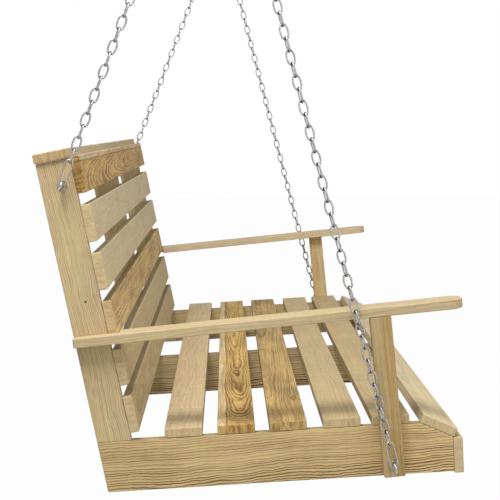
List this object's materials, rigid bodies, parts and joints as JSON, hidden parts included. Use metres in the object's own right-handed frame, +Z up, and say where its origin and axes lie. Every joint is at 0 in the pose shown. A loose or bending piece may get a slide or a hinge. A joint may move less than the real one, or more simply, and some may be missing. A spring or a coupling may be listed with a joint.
{
  "type": "hanging swing bench",
  "caption": "Slatted timber swing bench with raked back and armrests, hung at each end on two welded-link chains with snap hooks.",
  "frame": {"origin": "on the ceiling plane, midway between the two ceiling hooks that hold the bench", "axes": "+X along the bench, to the left hand of whoever sits in it; the sitter faces -Y; +Z up; the bench hangs below the origin"},
  "size_m": [1.686, 0.77, 1.3212],
  "materials": {
    "pine_frame": "matte",
    "pine_back_brown": "matte",
    "pine_back_pale": "matte",
    "pine_seat_orange": "matte",
    "pine_seat_brown": "matte",
    "pine_seat_pale": "matte",
    "pine_trim": "matte",
    "pine_arm_post": "matte",
    "zinc_chain": "satin",
    "zinc_fittings": "satin",
    "zinc_snap": "satin"
  },
  "bodies": {
    "hangers": {"right_ceiling_hook": "zinc_fittings", "left_ceiling_hook": "zinc_fittings"},
    "swing": {"back_slat_1": "pine_back_brown", "back_slat_2": "pine_back_pale", "back_slat_3": "pine_back_pale", "back_slat_4": "pine_back_brown", "back_slat_5": "pine_back_pale", "back_slat_6": "pine_back_pale", "centre_post": "pine_frame", "centre_rail": "pine_frame", "front_fascia": "pine_trim", "left_arm_post": "pine_arm_post", "left_armrest": "pine_trim", "left_front_chain": "zinc_chain", "left_front_eye_bolt": "zinc_fittings", "left_front_inner_washer": "zinc_fittings", "left_front_nut": "zinc_fittings", "left_front_outer_washer": "zinc_fittings", "left_front_snap_hook": "zinc_snap", "left_hanging_ring": "zinc_fittings", "left_post": "pine_frame", "left_rail": "pine_frame", "left_rear_chain": "zinc_chain", "left_rear_eye_bolt": "zinc_fittings", "left_rear_inner_washer": "zinc_fittings", "left_rear_nut": "zinc_fittings", "left_rear_outer_washer": "zinc_fittings", "left_rear_snap_hook": "zinc_snap", "nosing_slat": "pine_seat_pale", "right_arm_post": "pine_arm_post", "right_armrest": "pine_trim", "right_front_chain": "zinc_chain", "right_front_eye_bolt": "zinc_fittings", "right_front_inner_washer": "zinc_fittings", "right_front_nut": "zinc_fittings", "right_front_outer_washer": "zinc_fittings", "right_front_snap_hook": "zinc_snap", "right_hanging_ring": "zinc_fittings", "right_post": "pine_frame", "right_rail": "pine_frame", "right_rear_chain": "zinc_chain", "right_rear_eye_bolt": "zinc_fittings", "right_rear_inner_washer": "zinc_fittings", "right_rear_nut": "zinc_fittings", "right_rear_outer_washer": "zinc_fittings", "right_rear_snap_hook": "zinc_snap", "seat_slat_1": "pine_seat_pale", "seat_slat_2": "pine_seat_orange", "seat_slat_3": "pine_seat_brown", "seat_slat_4": "pine_seat_pale", "seat_slat_5": "pine_seat_pale", "top_cap": "pine_trim"},
    "right_rear_gate_body": {"right_rear_gate": "zinc_snap"},
    "right_front_gate_body": {"right_front_gate": "zinc_snap"},
    "left_rear_gate_body": {"left_rear_gate": "zinc_snap"},
    "left_front_gate_body": {"left_front_gate": "zinc_snap"}
  },
  "joints": [
    {"name": "swing", "type": "hinge", "parent": "hangers", "child": "swing", "pos_m": [0, 0, -0.046], "axis": [1, 0, 0], "range_deg": [-28, 28]},
    {"name": "right_rear_gate_pivot", "type": "hinge", "parent": "swing", "child": "right_rear_gate_body", "pos_m": [-0.79139, 0.26827, -0.75276], "axis": [-0.9997, 0.0098, -0.0245], "range_deg": [0, 25], "stiffness_Nm_per_rad": 0.03, "springref_deg": -20.05},
    {"name": "right_front_gate_pivot", "type": "hinge", "parent": "swing", "child": "right_front_gate_body", "pos_m": [-0.81386, -0.31062, -1.25537], "axis": [-1, 0.0006, 0.0023], "range_deg": [0, 25], "stiffness_Nm_per_rad": 0.03, "springref_deg": -20.05},
    {"name": "left_rear_gate_pivot", "type": "hinge", "parent": "swing", "child": "left_rear_gate_body", "pos_m": [0.79139, 0.26827, -0.75276], "axis": [-0.9997, -0.0098, 0.0245], "range_deg": [0, 25], "stiffness_Nm_per_rad": 0.03, "springref_deg": -20.05},
    {"name": "left_front_gate_pivot", "type": "hinge", "parent": "swing", "child": "left_front_gate_body", "pos_m": [0.81386, -0.31062, -1.25537], "axis": [-1, -0.0006, -0.0023], "range_deg": [0, 25], "stiffness_Nm_per_rad": 0.03, "springref_deg": -20.05}
  ]
}
